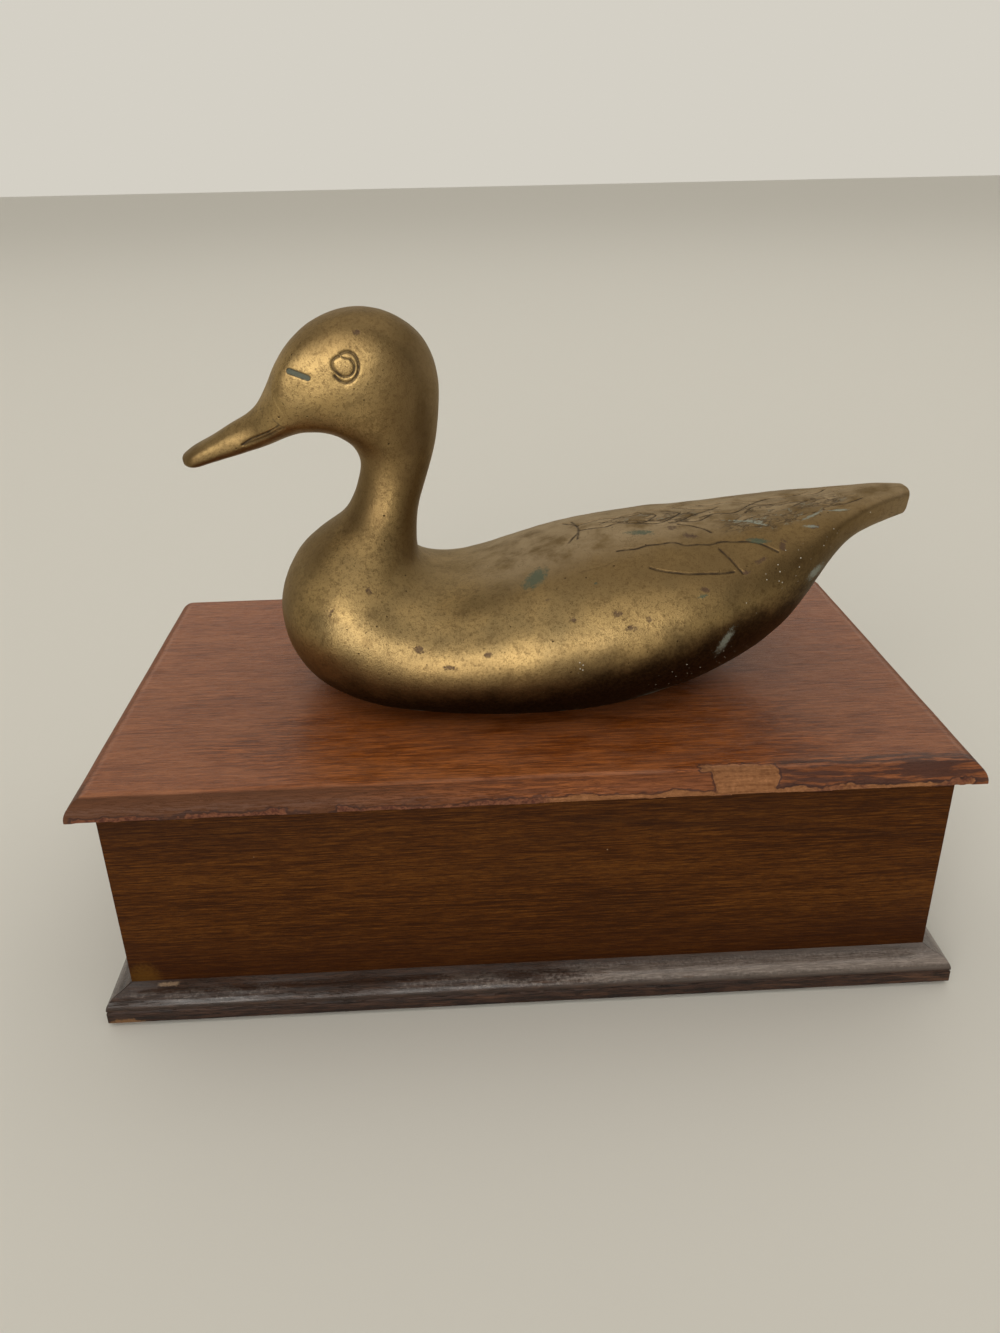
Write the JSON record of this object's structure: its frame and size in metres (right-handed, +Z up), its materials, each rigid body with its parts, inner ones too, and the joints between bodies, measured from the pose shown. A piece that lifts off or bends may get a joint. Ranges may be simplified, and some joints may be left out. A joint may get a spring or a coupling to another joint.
{
  "type": "animal figurine on a lidded keepsake box",
  "caption": "Aged brass duck ornament with an upright head and a raised tail, screwed to the hinged lid of a low moulded wooden keepsake box.",
  "frame": {"origin": "on the table under the middle of the box's outer base, without the lid's or the hinges' overhang", "axes": "+X along the box towards the duck's tail, +Y towards the hinges at the back, +Z up"},
  "size_m": [0.2524, 0.1482, 0.192],
  "materials": {
    "walnut": "dark stained walnut, horizontal grain, worn satin polish",
    "moulding": "very dark chocolate stain, grey sheen on the bead, small chips",
    "mahogany": "reddish brown mahogany, grain along the length, worn dark edge",
    "felt": "dark green felt",
    "cast_brass": "aged olive gold satin, speckled, browner low down, spots of green verdigris",
    "hinge_brass": "plain drawn brass, lightly tarnished"
  },
  "bodies": {
    "box": {"front_wall": "walnut", "right_wall": "walnut", "back_wall": "walnut", "left_wall": "walnut", "bottom_board": "walnut", "base_moulding_front": "moulding", "base_moulding_right": "moulding", "base_moulding_back": "moulding", "base_moulding_left": "moulding", "felt_feet": "felt", "lining_floor": "felt", "lining_front": "felt", "lining_back": "felt", "lining_left": "felt", "lining_right": "felt", "hinge_left_box_leaf": "hinge_brass", "hinge_left_pin": "hinge_brass", "hinge_right_box_leaf": "hinge_brass", "hinge_right_pin": "hinge_brass", "hinge_box_screws": "hinge_brass"},
    "lid": {"lid_board": "mahogany", "lid_lining": "felt", "hinge_left_lid_leaf": "hinge_brass", "hinge_right_lid_leaf": "hinge_brass", "hinge_lid_screws": "hinge_brass", "duck_casting": "cast_brass", "duck_screws": "hinge_brass", "duck_washers": "hinge_brass"}
  },
  "joints": [
    {"name": "lid_hinge", "type": "hinge", "parent": "box", "child": "lid", "pos_m": [0, 0.0695, 0.0711], "axis": [-1, 0, 0], "range_deg": [0, 95]}
  ]
}
